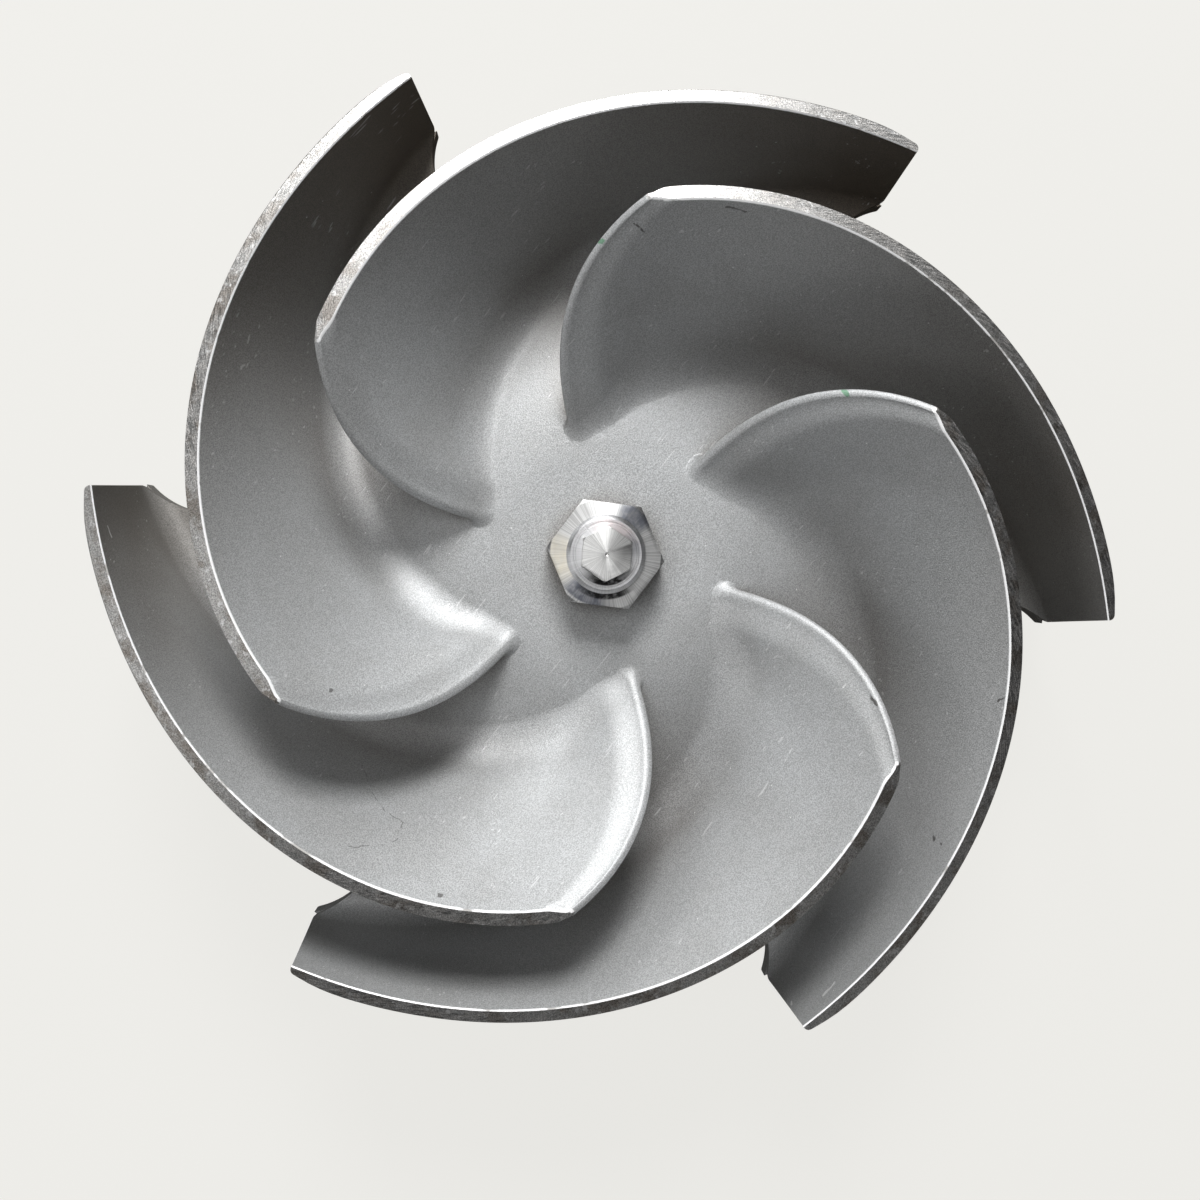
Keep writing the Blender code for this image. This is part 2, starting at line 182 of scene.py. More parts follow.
def blade_side(up, along, widening, face):
    """Points of a blade's convex side (face 1) or concave side (-1), which follow the floor at the root."""
    middle = camber(up, along)
    run = camber(up, along + SLOPE_STEP) - camber(up, along - SLOPE_STEP)
    rise = camber(up + SLOPE_STEP, along) - camber(up - SLOPE_STEP, along)
    normal = np.cross(run, rise)
    normal /= np.linalg.norm(normal, axis=-1, keepdims=True)
    level = np.stack([-run[..., 1], run[..., 0], 0 * along], axis=-1)
    level /= np.linalg.norm(level, axis=-1, keepdims=True)
    share = np.clip(up, 0, 1)
    taper_length = ROOT_TAPER_LENGTH + (FRONT_TAPER_LENGTH - ROOT_TAPER_LENGTH) * share
    taper = LEAD_THICKNESS_SHARE + (1 - LEAD_THICKNESS_SHARE) * ease(along / taper_length)
    thickness = (ROOT_THICKNESS + (FRONT_THICKNESS - ROOT_THICKNESS) * share) * taper
    half = thickness / 2 / np.maximum(np.hypot(normal[..., 0], normal[..., 1]), STEEPEST) + widening
    point = middle + face * level * half[..., None]
    middle_floor = floor_height(np.hypot(middle[..., 0], middle[..., 1]))
    fade = 1 - ease((middle[..., 2] - middle_floor) / FILLET_REACH)
    point[..., 2] += fade * (floor_height(np.hypot(point[..., 0], point[..., 1])) - middle_floor)
    return point


def share_at(height, along):
    """The share up that stands this high over the root."""
    return height / (front_height(front_radius(along)) - floor_height(root_radius(along)))


def gap_under_cone(point, depth):
    """How far points lie below a cone this deep under the front edges."""
    return front_height(np.hypot(point[..., 0], point[..., 1])) - depth - point[..., 2]


def share_under_front(along, widening, face, depth):
    """The share up at which a side comes this near to the front cone."""
    up = np.ones_like(along)
    for _ in range(CONE_SEARCHES):
        low_gap = gap_under_cone(blade_side(up, along, widening, face), depth)
        high_gap = gap_under_cone(blade_side(up + CONE_SEARCH_STEP, along, widening, face), depth)
        up = up - low_gap * CONE_SEARCH_STEP / (high_gap - low_gap)
    return up


def crossing(values, along):
    """Where values that change one way along the blade pass zero."""
    order = np.argsort(values)
    return float(np.interp(0, values[order], along[order]))


def blade_outline(level, widening, depth=None):
    """A closed outline round a blade: up the concave side, round the leading edge, back on the convex side.

    level(along, face) gives the share up, and widening(along) the extra width on each side. The concave side
    ends sharply, and the convex side is rounded to it from inside the tips' radius. With a depth given, the
    convex side stays that far under the front cone."""

    def points(along, face):
        return blade_side(level(along, face), along, widening(along), face)

    search = points(END_SEARCH, -1)
    end = crossing(search[:, 1] + END_SET + END_SLOPE * (TIP_Z - search[:, 2]), END_SEARCH)
    concave = points(end * STATIONS, -1)
    convex = points(end * STATIONS, 1)
    rounding = np.sqrt(1 - np.clip(1 - (1 - STATIONS) / END_LENGTH, 0, 1) ** 2)
    convex = concave + (convex - concave) * rounding[:, None]
    radius = np.hypot(convex[:, 0], convex[:, 1])
    held = TIP_RADIUS - TIP_ROUNDING * np.logaddexp(0, (TIP_RADIUS - radius) / TIP_ROUNDING)
    convex[:, :2] *= (1 + (held / radius - 1) * rounding)[:, None]
    if depth is not None:
        convex[:, 2] = front_height(np.hypot(convex[:, 0], convex[:, 1])) - depth
    convex[0] = concave[0]
    middle = (concave[-1] + convex[-1]) / 2
    across = (convex[-1] - concave[-1]) / 2
    ahead = np.array([-across[1], across[0], 0])
    turns = np.pi * np.arange(1, LEAD_POINTS + 1)[:, None] / (LEAD_POINTS + 1)
    lead = middle - across * np.cos(turns) + ahead * np.sin(turns)
    return np.concatenate([concave, lead, convex[::-1]])


def fillet_level(part, more=0):
    """Levels at this part of the root fillet's height, and this much more."""
    return lambda along, face: share_at(part * root_fillet(along) + more, along)


def body_level(part):
    """Levels from the root fillet's top, part 0, to just under the front edge, part 1."""

    def level(along, face):
        low = share_at(root_fillet(along), along)
        return low + (share_under_front(along, 0, face, EDGE_BREAK) - low) * part

    return level


def front_level(along, face):
    """Levels at the front edge, between its broken corners."""
    return share_under_front(along, -EDGE_BREAK, face, 0)


def no_fillet(along):
    return 0 * along


def drawn_in(along):
    """The front edge's width is drawn in by its broken corners."""
    return 0 * along - EDGE_BREAK


def closed_middle(outline):
    """The line halfway between an outline's two sides, to close it with."""
    return (outline + outline[::-1]) / 2


rows = [blade_outline(fillet_level(0, -depth), root_fillet) for depth in (FOOT_SINK, FOOT_BITE)]
for turn in np.linspace(0, math.pi / 2, FILLET_ROWS + 1)[1:]:
    out = 1 - math.sin(turn)
    rows.append(blade_outline(fillet_level(1 - math.cos(turn)), lambda along: root_fillet(along) * out))
for part in np.linspace(0, 1, BODY_ROWS + 1)[1:-1]:
    rows.append(blade_outline(body_level(part), no_fillet))
rows.append(blade_outline(body_level(1), no_fillet, EDGE_BREAK))
rows.append(blade_outline(front_level, drawn_in, 0))
front_line = closed_middle(rows[-1])
front_line[:, 2] = front_height(np.hypot(front_line[:, 0], front_line[:, 1]))
rows = np.stack([closed_middle(rows[0])] + rows + [front_line])


def join(body, other, operation):
    """Joins another closed piece to the body, or cuts it away."""
    boolean = body.modifiers.new(operation.lower(), "BOOLEAN")
    boolean.operation = operation
    boolean.solver = "MANIFOLD"
    boolean.object = other
    bpy.context.view_layer.objects.active = body
    bpy.ops.object.modifier_apply(modifier=boolean.name)
    bpy.data.objects.remove(other)


def turn_about_axis(piece, angle):
    """Turns a piece's mesh about the shaft axis."""
    places = np.empty(len(piece.data.vertices) * 3, np.float32)
    piece.data.vertices.foreach_get("co", places)
    places = places.reshape(-1, 3)
    x, y = places[:, 0].copy(), places[:, 1].copy()
    places[:, 0] = x * math.cos(angle) - y * math.sin(angle)
    places[:, 1] = x * math.sin(angle) + y * math.cos(angle)
    piece.data.vertices.foreach_set("co", places.ravel())
    piece.data.update()


def join_all_round(body, piece, operation):
    """Joins a copy of a piece at each vane to the body, or cuts them away, and removes the piece."""
    for step in range(VANE_COUNT):
        made = piece.copy()
        made.data = piece.data.copy()
        bpy.context.scene.collection.objects.link(made)
        turn_about_axis(made, step * PITCH)
        join(body, made, operation)
    bpy.data.objects.remove(piece)


row_count, column_count = rows.shape[:2]
bpy.ops.mesh.primitive_grid_add(x_subdivisions=column_count - 1, y_subdivisions=row_count - 1)
blade = bpy.context.object
blade.data.vertices.foreach_set("co", rows.astype(np.float32).ravel())
bpy.ops.object.mode_set(mode="EDIT")
bpy.ops.mesh.select_all(action="SELECT")
bpy.ops.mesh.remove_doubles(threshold=MERGE)
bpy.ops.mesh.normals_make_consistent(inside=False)
bpy.ops.object.mode_set(mode="OBJECT")
bpy.ops.object.select_all(action="DESELECT")
join_all_round(casting, blade, "UNION")


# The ribs behind the shroud
# A low rib lies behind each vane's root, cast with the shroud, and pumps the liquid out from behind it.

RIB_WIDTH, RIB_HEIGHT, RIB_BITE = 0.007, 0.004, 0.002
RIB_FROM, RIB_TO = 0.06, 0.965
RIB_POINTS = 40
RIB_ROUNDING, RIB_ROUNDING_STEPS = 0.0012, 3

bpy.ops.mesh.primitive_grid_add(x_subdivisions=RIB_POINTS - 1, y_subdivisions=1)
rib = bpy.context.object
stations = np.linspace(RIB_FROM, RIB_TO, RIB_POINTS)
rib_middle = camber(0 * stations, stations)
rib_run = camber(0 * stations, stations + SLOPE_STEP) - camber(0 * stations, stations - SLOPE_STEP)
half_width = np.stack([-rib_run[:, 1], rib_run[:, 0], 0 * stations], axis=-1)
half_width *= RIB_WIDTH / 2 / np.linalg.norm(half_width, axis=-1, keepdims=True)
rib_middle[:, 2] = SHROUD_REAR_Z + RIB_BITE
rib_sides = np.stack([rib_middle - half_width, rib_middle + half_width])
rib.data.vertices.foreach_set("co", rib_sides.astype(np.float32).ravel())
bpy.ops.object.mode_set(mode="EDIT")
bpy.ops.mesh.select_all(action="SELECT")
bpy.ops.mesh.extrude_region_move(TRANSFORM_OT_translate={"value": (0, 0, -RIB_BITE - RIB_HEIGHT)})
bpy.ops.mesh.select_all(action="SELECT")
bpy.ops.mesh.normals_make_consistent(inside=False)
bpy.ops.object.mode_set(mode="OBJECT")
rounding = rib.modifiers.new("rounding", "BEVEL")
rounding.width = RIB_ROUNDING
rounding.segments = RIB_ROUNDING_STEPS
rounding.limit_method = "ANGLE"
bpy.ops.object.modifier_apply(modifier=rounding.name)
bpy.ops.object.select_all(action="DESELECT")
join_all_round(casting, rib, "UNION")


# The scallops and the keyway
# The shroud is cut back in a round scallop beside each vane's tip, which balances the thrust, and a keyway
# is slotted into the bore.

SCALLOP_RADIUS = 0.035
SCALLOP_NEAR_RADIUS, SCALLOP_NEAR_ANGLE = 0.1772, math.radians(-10.3)
SCALLOP_FAR_RADIUS, SCALLOP_FAR_ANGLE = 0.1850, math.radians(-18.8)
SCALLOP_TOP_Z = SHROUD_FRONT_Z + ROOT_FILLET + 0.001
SCALLOP_STEPS = 128
KEYWAY_WIDTH, KEYWAY_TOP = 0.014, 0.0263
CUT_OVER = 0.012
SMOOTH_ANGLE = math.radians(28)


def scallop_axis(radius, angle):
    """The middle of the axis of one of the scallop's round ends."""
    return Matrix.Rotation(angle, 3, "Z") @ Vector((radius, 0, SCALLOP_TOP_Z / 2))


def smooth(piece, angle):
    """Smooth shading over edges blunter than an angle."""
    bpy.ops.object.select_all(action="DESELECT")
    piece.select_set(True)
    bpy.context.view_layer.objects.active = piece
    bpy.ops.object.shade_smooth_by_angle(angle=angle)
    bpy.ops.object.select_all(action="DESELECT")


near_end = scallop_axis(SCALLOP_NEAR_RADIUS, SCALLOP_NEAR_ANGLE)
far_end = scallop_axis(SCALLOP_FAR_RADIUS, SCALLOP_FAR_ANGLE)
bpy.ops.mesh.primitive_cylinder_add(vertices=SCALLOP_STEPS, radius=SCALLOP_RADIUS, depth=SCALLOP_TOP_Z)
scallop = bpy.context.object
for vertex in scallop.data.vertices:
    far_half = vertex.co.dot(far_end - near_end) > 0
    vertex.co += far_end if far_half else near_end
join_all_round(casting, scallop, "DIFFERENCE")

bpy.ops.mesh.primitive_cube_add(size=1, location=(KEYWAY_TOP / 2, 0, (BORE_DEPTH - CUT_OVER) / 2),
                                scale=(KEYWAY_TOP, KEYWAY_WIDTH, BORE_DEPTH + CUT_OVER))
keyway = bpy.context.object
bpy.ops.object.transform_apply(location=True, rotation=True, scale=True)
join(casting, keyway, "DIFFERENCE")
smooth(casting, SMOOTH_ANGLE)


# The casting's finishes
# The faces as cast are bead blasted to an even satin grey. Painted shade darkens the outer vanes and their
# tips, most of all on one side, and more painted shade lies in the deep places. The vanes' front edges, the
# rim, the boss and the bore are turned bright, and a thin broken edge along the concave side of each vane's
# front edge is painted white as a painted highlight.

PHOTO_TURN = math.radians(52.75)
BLAST_GREY, BLAST_BROWN_AND_SHADE = (0.50, 0.51, 0.515, 1), (0.22, 0.203, 0.18, 1)
# The dark brown is painted shade; the near white is for specks and scuffs.
BLAST_PAINTED_SHADE, BLAST_SPECK = (0.115, 0.09, 0.065, 1), (0.95, 0.95, 0.95, 1)
BLAST_METALLIC = 0.35
GRAIN_SCALE, DENT_SCALE, DENT_SHARE = 2100, 420, 0.7
MOTTLE_SCALE, MOTTLE_SHARE, CLOUD_SCALE = 26, 0.168, 8
GRAIN_DARKEST, GRAIN_PALEST = 0.74, 1.2
SPECK_SCALE, SPECK_SHARE = 210.0, 0.75
SCUFF_LAYS = ((0.7, (30, 900, 500)), (2.1, (26, 760, 420)))
SCUFF_PLACES_SCALE, SCUFF_SHARE = 42, 0.35
BLAST_ROUGHNESS, GRAIN_ROUGHNESS, CLOUD_ROUGHNESS, SCUFF_POLISH = 0.42, 0.10, 0.05, 0.12
# Painted shade on the outer vanes: its radii, its side, its least share and its evenness
OUTER_SHADE_FROM, OUTER_SHADE_TO = 0.11, 0.195
OUTER_SHADE_SIDE, OUTER_SHADE_LEAST, OUTER_SHADE_EVEN = 92, 0.15, 0.65
# Painted shade at the vane tips on one side: its side, its radii and its share
TIP_SHADE_SIDE, TIP_SHADE_FROM, TIP_SHADE_TO, TIP_SHADE_SHARE = 82, 0.150, 0.199, 0.8
# Painted shade in the deep places, from ambient occlusion: its reach, its open and deep levels, and its
# share
AO_SHADE_REACH, AO_SHADE_OPEN, AO_SHADE_DEEP, AO_SHADE_SHARE = 0.05, 0.80, 0.30, 0.85
# The painted highlight along the vanes' broken front edges: its depths under the front cone and its nick
# scale
BURR_FROM, BURR_TO, BURR_NICK_SCALE = 0.0006, 0.0009, 75

BAND_STEEL, BAND_BROWN_AND_SHADE = (0.52, 0.52, 0.51, 1), (0.24, 0.205, 0.17, 1)
BAND_PINK = (0.50, 0.44, 0.41, 1)
# The white is the painted highlight on the broken edges and the bright spots on the bands.
EDGE_WHITE, EDGE_GREY = (0.97, 0.97, 0.97, 1), (0.45, 0.44, 0.42, 1)
BAND_RINGS, BAND_SLANT = 2600.0, 0.10
BAND_BROWN_SIDE, BAND_BROWN_SHARE, BAND_BROWN_LEAST = 190, 0.55, 0.12
# Painted shade on the bands toward one side: its side and its share
BAND_SHADE_SIDE, BAND_SHADE_SHARE = 320, 0.7
BAND_GRIT_DARKEST, BAND_GRIT_PALEST = 0.62, 1.35
BAND_BRIGHT_SCALE, BAND_BRIGHT_SHARE = 260, 0.55
BAND_DEPTH, BAND_CORNER = 1.1 * EDGE_BREAK, 0.2 * EDGE_BREAK
RIM_DEPTH, RIM_FACING = 0.0002, 0.9

RING_ARC, SCRATCH_ARC = 0.6, 0.18
SCRATCHES_ACROSS, SCRATCHES_ALONG = 2600, 110
PATCH_SCALE = 95
WANDER_SCALE, WANDER_REACH, RAGGED_SCALE = 150.0, 0.004, 700

# Small marks of use: each from one place to another in millimetres, its width in metres, colour and share
PAINT_GREEN = (0.10, 0.30, 0.16, 1)
SCRATCH_DARK, SCRATCH_LIGHT = (0.06, 0.055, 0.05, 1), (0.95, 0.95, 0.94, 1)
HAIRLINE = [(-127.8, 26.6, 65.7), (-130.8, 17.2, 76.6), (-132.6, 7.9, 85.2), (-130.7, -0.3, 87.7),
            (-135.1, -2.0, 95.0), (-139.0, 0.5, 99.2), (-147.5, 13.8, 106.0)]
STROKES = [(start, end, 0.0006, SCRATCH_DARK, 0.45) for start, end in zip(HAIRLINE, HAIRLINE[1:])]
STROKES += [((102.6, 67.1, 114.5), (103.1, 62.6, 112.1), 0.0009, SCRATCH_DARK, 0.8),
            ((128.3, 43.4, 116.6), (131.9, 36.5, 114.9), 0.0009, SCRATCH_DARK, 0.7),
            ((16.9, -111.2, 107.4), (16.1, -114.6, 110.2), 0.0012, SCRATCH_DARK, 0.8),
            ((45.2, -150.7, 110.2), (49.4, -150.6, 113.7), 0.0010, SCRATCH_DARK, 0.8),
            ((-11.2, -168.0, 95.4), (-11.4, -168.3, 96.2), 0.0016, SCRATCH_DARK, 0.8),
            ((-11.6, -169.6, 100.2), (-11.7, -169.8, 100.9), 0.0012, SCRATCH_DARK, 0.8),
            ((-137.7, -26.3, 114.0), (-137.9, -26.6, 114.5), 0.0014, SCRATCH_DARK, 0.7),
            ((-103.0, 51.9, 108.1), (-103.2, 51.6, 108.7), 0.0012, SCRATCH_DARK, 0.7),
            ((-97.7, -168.0, 78.0), (-98.6, -167.9, 84.5), 0.0010, SCRATCH_LIGHT, 0.7),
            ((-85.5, -170.3, 95.0), (-78.2, -171.3, 94.5), 0.0010, SCRATCH_LIGHT, 0.6),
            ((-106.6, 157.0, 95.7), (-109.2, 153.6, 94.8), 0.0010, SCRATCH_LIGHT, 0.7),
            ((91.3, 73.2, 109.4), (91.5, 72.6, 110.6), 0.0022, PAINT_GREEN, 0.75),
            ((104.3, -33.8, 104.3), (103.5, -35.5, 105.4), 0.0022, PAINT_GREEN, 0.75)]


def node(tree, kind, inputs, **settings):
    """A shader node with its settings, and its inputs linked to a socket or set to a value."""
    made = tree.nodes.new("ShaderNode" + kind)
    for setting, value in settings.items():
        setattr(made, setting, value)
    for place, value in inputs.items():
        if isinstance(value, bpy.types.NodeSocket):
            tree.links.new(value, made.inputs[place])
        else:
            made.inputs[place].default_value = value
    return made


def maths(tree, operation, first, second=0.0):
    return node(tree, "Math", {0: first, 1: second}, operation=operation).outputs[0]


def times(tree, first, second):
    return maths(tree, "MULTIPLY", first, second)


def plus(tree, first, second):
    return maths(tree, "ADD", first, second)


def vector_maths(tree, operation, first, second=(0, 0, 0), output="Vector"):
    """A result of vector maths. SCALE takes a number as its second value."""
    place = "Scale" if operation == "SCALE" else 1
    return node(tree, "VectorMath", {0: first, place: second}, operation=operation).outputs[output]


def noise(tree, vector, scale, detail=2.0, roughness=0.5):
    values = {"Vector": vector, "Scale": scale, "Detail": detail, "Roughness": roughness}
    return node(tree, "TexNoise", values).outputs[0]


def ramp(tree, value, start, end, low=0.0, high=1.0):
    """A value eased from low to high between start and end."""
    values = {"Value": value, "From Min": start, "From Max": end, "To Min": low, "To Max": high}
    return node(tree, "MapRange", values, interpolation_type="SMOOTHSTEP").outputs[0]


def mixed(tree, share, first, second, blend_type="MIX"):
    inputs = {0: share, 6: first, 7: second}
    return node(tree, "Mix", inputs, data_type="RGBA", blend_type=blend_type).outputs[2]


def shaded(tree, colour, shade):
    """A colour made darker or paler by a number."""
    grey = node(tree, "CombineColor", {0: shade, 1: shade, 2: shade}).outputs[0]
    return mixed(tree, 1.0, colour, grey, "MULTIPLY")


def effect(name, inputs, outputs):
    """An empty node group with inputs of the kinds named, and outputs that are all numbers."""
    group = bpy.data.node_groups.new(name, "ShaderNodeTree")
    for socket, kind in inputs.items():
        group.interface.new_socket(socket, in_out="INPUT", socket_type="NodeSocket" + kind)
    for socket in outputs:
        group.interface.new_socket(socket, in_out="OUTPUT", socket_type="NodeSocketFloat")
    return group, group.nodes.new("NodeGroupInput").outputs, group.nodes.new("NodeGroupOutput").inputs


def polar(tree, vector):
    """A place's distance from the shaft axis, and its direction from it as a unit vector."""
    level = vector_maths(tree, "MULTIPLY", vector, (1, 1, 0))
    return vector_maths(tree, "LENGTH", level, output="Value"), vector_maths(tree, "NORMALIZE", level)


blast, put, out = effect("bead_blasting", {"Vector": "Vector"},
                         ("Height", "Fine", "Mottle", "Cloud", "Specks", "Scuffs"))
fine = noise(blast, put["Vector"], GRAIN_SCALE, 2, 0.6)
dents = noise(blast, put["Vector"], DENT_SCALE, 2, 0.5)
blast.links.new(plus(blast, fine, times(blast, dents, DENT_SHARE)), out["Height"])
blast.links.new(ramp(blast, fine, 0.3, 0.7), out["Fine"])
blast.links.new(ramp(blast, noise(blast, put["Vector"], MOTTLE_SCALE, 4, 0.6), 0.35, 0.68), out["Mottle"])
blast.links.new(ramp(blast, noise(blast, put["Vector"], CLOUD_SCALE, 3, 0.55), 0.38, 0.64), out["Cloud"])
cells = node(blast, "TexVoronoi", {"Vector": put["Vector"], "Scale": SPECK_SCALE}).outputs
lone = ramp(blast, node(blast, "SeparateColor", {0: cells["Color"]}).outputs[0], 0.86, 0.88)
blast.links.new(times(blast, ramp(blast, cells["Distance"], 0.09, 0.03), lone), out["Specks"])
scuffs = []
for turn, stretch in SCUFF_LAYS:
    values = {"Vector": put["Vector"], "Rotation": (0, 0, turn), "Scale": stretch}
    stretched = node(blast, "Mapping", values).outputs[0]
    scuffs.append(ramp(blast, noise(blast, stretched, 1, 1, 0.4), 0.70, 0.76))
rare = ramp(blast, noise(blast, put["Vector"], SCUFF_PLACES_SCALE, 1), 0.55, 0.62)
blast.links.new(times(blast, maths(blast, "MAXIMUM", *scuffs), rare), out["Scuffs"])

turning, put, out = effect("turning_marks", {"Vector": "Vector", "Rings": "Float", "Slant": "Float"},
                           ("Rings", "Scratches", "Patches"))
distance, direction = polar(turning, put["Vector"])
arc = vector_maths(turning, "SCALE", direction, RING_ARC)
ring_place = node(turning, "CombineXYZ", {"X": times(turning, distance, put["Rings"])}).outputs[0]
ring_place = vector_maths(turning, "ADD", ring_place, arc)
turning.links.new(noise(turning, ring_place, 1, 2, 0.6), out["Rings"])
parts = node(turning, "SeparateXYZ", {0: direction}).outputs
bearing = maths(turning, "ARCTAN2", parts["Y"], parts["X"])
across = times(turning, plus(turning, distance, times(turning, bearing, put["Slant"])), SCRATCHES_ACROSS)
lengthways = maths(turning, "SUBTRACT", times(turning, bearing, SCRATCH_ARC), distance)
lengthways = times(turning, lengthways, SCRATCHES_ALONG)
slanted = node(turning, "CombineXYZ", {"X": across, "Y": lengthways}).outputs[0]
turning.links.new(ramp(turning, noise(turning, slanted, 1, 2, 0.6), 0.35, 0.68), out["Scratches"])
patches = ramp(turning, noise(turning, put["Vector"], PATCH_SCALE, 4, 0.65), 0.45, 0.62)
turning.links.new(patches, out["Patches"])

stroke_inputs = {"Vector": "Vector", "Start": "Vector", "End": "Vector", "Width": "Float"}
stroke, put, out = effect("stroke", stroke_inputs, ("Mask",))
wander = node(stroke, "TexNoise", {"Vector": put["Vector"], "Scale": WANDER_SCALE}).outputs["Color"]
wander = vector_maths(stroke, "SUBTRACT", wander, (0.5, 0.5, 0.5))
strayed = vector_maths(stroke, "ADD", put["Vector"], vector_maths(stroke, "SCALE", wander, WANDER_REACH))
span = vector_maths(stroke, "SUBTRACT", put["End"], put["Start"])
past = vector_maths(stroke, "SUBTRACT", strayed, put["Start"])
covered = maths(stroke, "DIVIDE", vector_maths(stroke, "DOT_PRODUCT", past, span, "Value"),
                vector_maths(stroke, "DOT_PRODUCT", span, span, "Value"))
covered = node(stroke, "Clamp", {"Value": covered}).outputs[0]
nearest = vector_maths(stroke, "SCALE", span, covered)
apart = vector_maths(stroke, "DISTANCE", past, nearest, "Value")
ragged = plus(stroke, 0.5, noise(stroke, put["Vector"], RAGGED_SCALE, 2, 0.6))
apart = maths(stroke, "DIVIDE", maths(stroke, "DIVIDE", apart, ragged), put["Width"])
stroke.links.new(ramp(stroke, apart, 0.65, 0.35), out["Mask"])


def finish(name, colour, roughness):
    """A metal, its nodes, its shader, and the place on the piece that its patterns follow."""
    made = bpy.data.materials.new(name)
    made.use_nodes = True
    made.diffuse_color = colour
    tree = made.node_tree
    shader = tree.nodes["Principled BSDF"]
    shader.inputs["Metallic"].default_value = 1
    shader.inputs["Base Color"].default_value = colour
    shader.inputs["Roughness"].default_value = roughness
    return made, tree, shader, tree.nodes.new("ShaderNodeTexCoord").outputs["Object"]


def placed(tree, group, **inputs):
    """A group's outputs, with the group placed in a material."""
    return node(tree, "Group", inputs, node_tree=group).outputs


def toward(tree, direction, photo_angle, start, end):
    """A mask for the side of the piece at an angle in the photograph, from start to end of the cosine."""
    turn = math.radians(photo_angle) - PHOTO_TURN
    side = (math.cos(turn), math.sin(turn), 0)
    return ramp(tree, vector_maths(tree, "DOT_PRODUCT", direction, side, "Value"), start, end)


def bumped(tree, shader, height, strength, distance):
    values = {"Strength": strength, "Distance": distance, "Height": height}
    tree.links.new(node(tree, "Bump", values).outputs[0], shader.inputs["Normal"])


blasted, tree, shader, place = finish("blasted_cast_steel", BLAST_GREY, 0.46)
shader.inputs["Metallic"].default_value = BLAST_METALLIC
grain = placed(tree, blast, Vector=place)
distance, direction = polar(tree, place)
# Painted shade: the outer vanes are made darker and browner, most of all on one side, with a cloudy spread.
side = times(tree, toward(tree, direction, OUTER_SHADE_SIDE, -0.6, 0.2), 1 - OUTER_SHADE_LEAST)
outer_shade = times(tree, ramp(tree, distance, OUTER_SHADE_FROM, OUTER_SHADE_TO), plus(tree, OUTER_SHADE_LEAST, side))
cloud = times(tree, grain["Cloud"], 1 - OUTER_SHADE_EVEN)
outer_shade = times(tree, outer_shade, plus(tree, OUTER_SHADE_EVEN, cloud))
mottle = times(tree, grain["Mottle"], MOTTLE_SHARE)
# The brown carries both this painted shade and the random mottle of the casting.
colour = mixed(tree, maths(tree, "MAXIMUM", outer_shade, mottle), BLAST_GREY, BLAST_BROWN_AND_SHADE)
# Painted shade: the colour darkens toward dark brown where ambient occlusion finds the faces hemmed in.
open_sky = node(tree, "AmbientOcclusion", {"Distance": AO_SHADE_REACH}, samples=6).outputs["AO"]
colour = mixed(tree, ramp(tree, open_sky, AO_SHADE_OPEN, AO_SHADE_DEEP, 0, AO_SHADE_SHARE), colour, BLAST_PAINTED_SHADE)
# Painted shade: the vane tips on one side are darkened toward the dark brown.
tips = times(tree, ramp(tree, distance, TIP_SHADE_FROM, TIP_SHADE_TO), toward(tree, direction, TIP_SHADE_SIDE, 0.1, 0.95))
colour = mixed(tree, times(tree, tips, TIP_SHADE_SHARE), colour, BLAST_PAINTED_SHADE)
colour = shaded(tree, colour, ramp(tree, grain["Fine"], 0, 1, GRAIN_DARKEST, GRAIN_PALEST))
colour = mixed(tree, times(tree, grain["Scuffs"], SCUFF_SHARE), colour, BLAST_SPECK)
cone = maths(tree, "SUBTRACT", TIP_Z + VANE_RADIUS * FRONT_SLOPE, times(tree, distance, FRONT_SLOPE))
height = node(tree, "SeparateXYZ", {0: place}).outputs["Z"]
# Painted highlight: a thin strip just under the front cone on each vane's concave side is mixed to white,
# with nicks.
near_front = ramp(tree, maths(tree, "SUBTRACT", cone, height), BURR_TO, BURR_FROM)
normal = tree.nodes.new("ShaderNodeNewGeometry").outputs["Normal"]
inward = ramp(tree, vector_maths(tree, "DOT_PRODUCT", normal, direction, "Value"), 0, -0.1)
whole = ramp(tree, noise(tree, place, BURR_NICK_SCALE, 3, 0.6), 0.62, 0.56)
colour = mixed(tree, times(tree, times(tree, near_front, inward), whole), colour, EDGE_WHITE)
colour = mixed(tree, times(tree, grain["Specks"], SPECK_SHARE), colour, BLAST_SPECK)
for start, end, width, paint, share in STROKES:
    ends = {"Start": [mm / 1000 for mm in start], "End": [mm / 1000 for mm in end]}
    mark = placed(tree, stroke, Vector=place, Width=width, **ends)["Mask"]
    colour = mixed(tree, times(tree, mark, share), colour, paint)
tree.links.new(colour, shader.inputs["Base Color"])
rough = plus(tree, BLAST_ROUGHNESS, times(tree, grain["Fine"], GRAIN_ROUGHNESS))
rough = plus(tree, rough, times(tree, grain["Cloud"], CLOUD_ROUGHNESS))
rough = maths(tree, "SUBTRACT", rough, times(tree, grain["Scuffs"], SCUFF_POLISH))
tree.links.new(rough, shader.inputs["Roughness"])
bumped(tree, shader, grain["Height"], 0.55, 0.00022)

turned_band, tree, shader, place = finish("turned_front_edge", BAND_STEEL, 0.32)
marks = placed(tree, turning, Vector=place, Rings=BAND_RINGS, Slant=BAND_SLANT)
distance, direction = polar(tree, place)
brown = times(tree, toward(tree, direction, BAND_BROWN_SIDE, 0.0, 0.9), BAND_BROWN_SHARE)
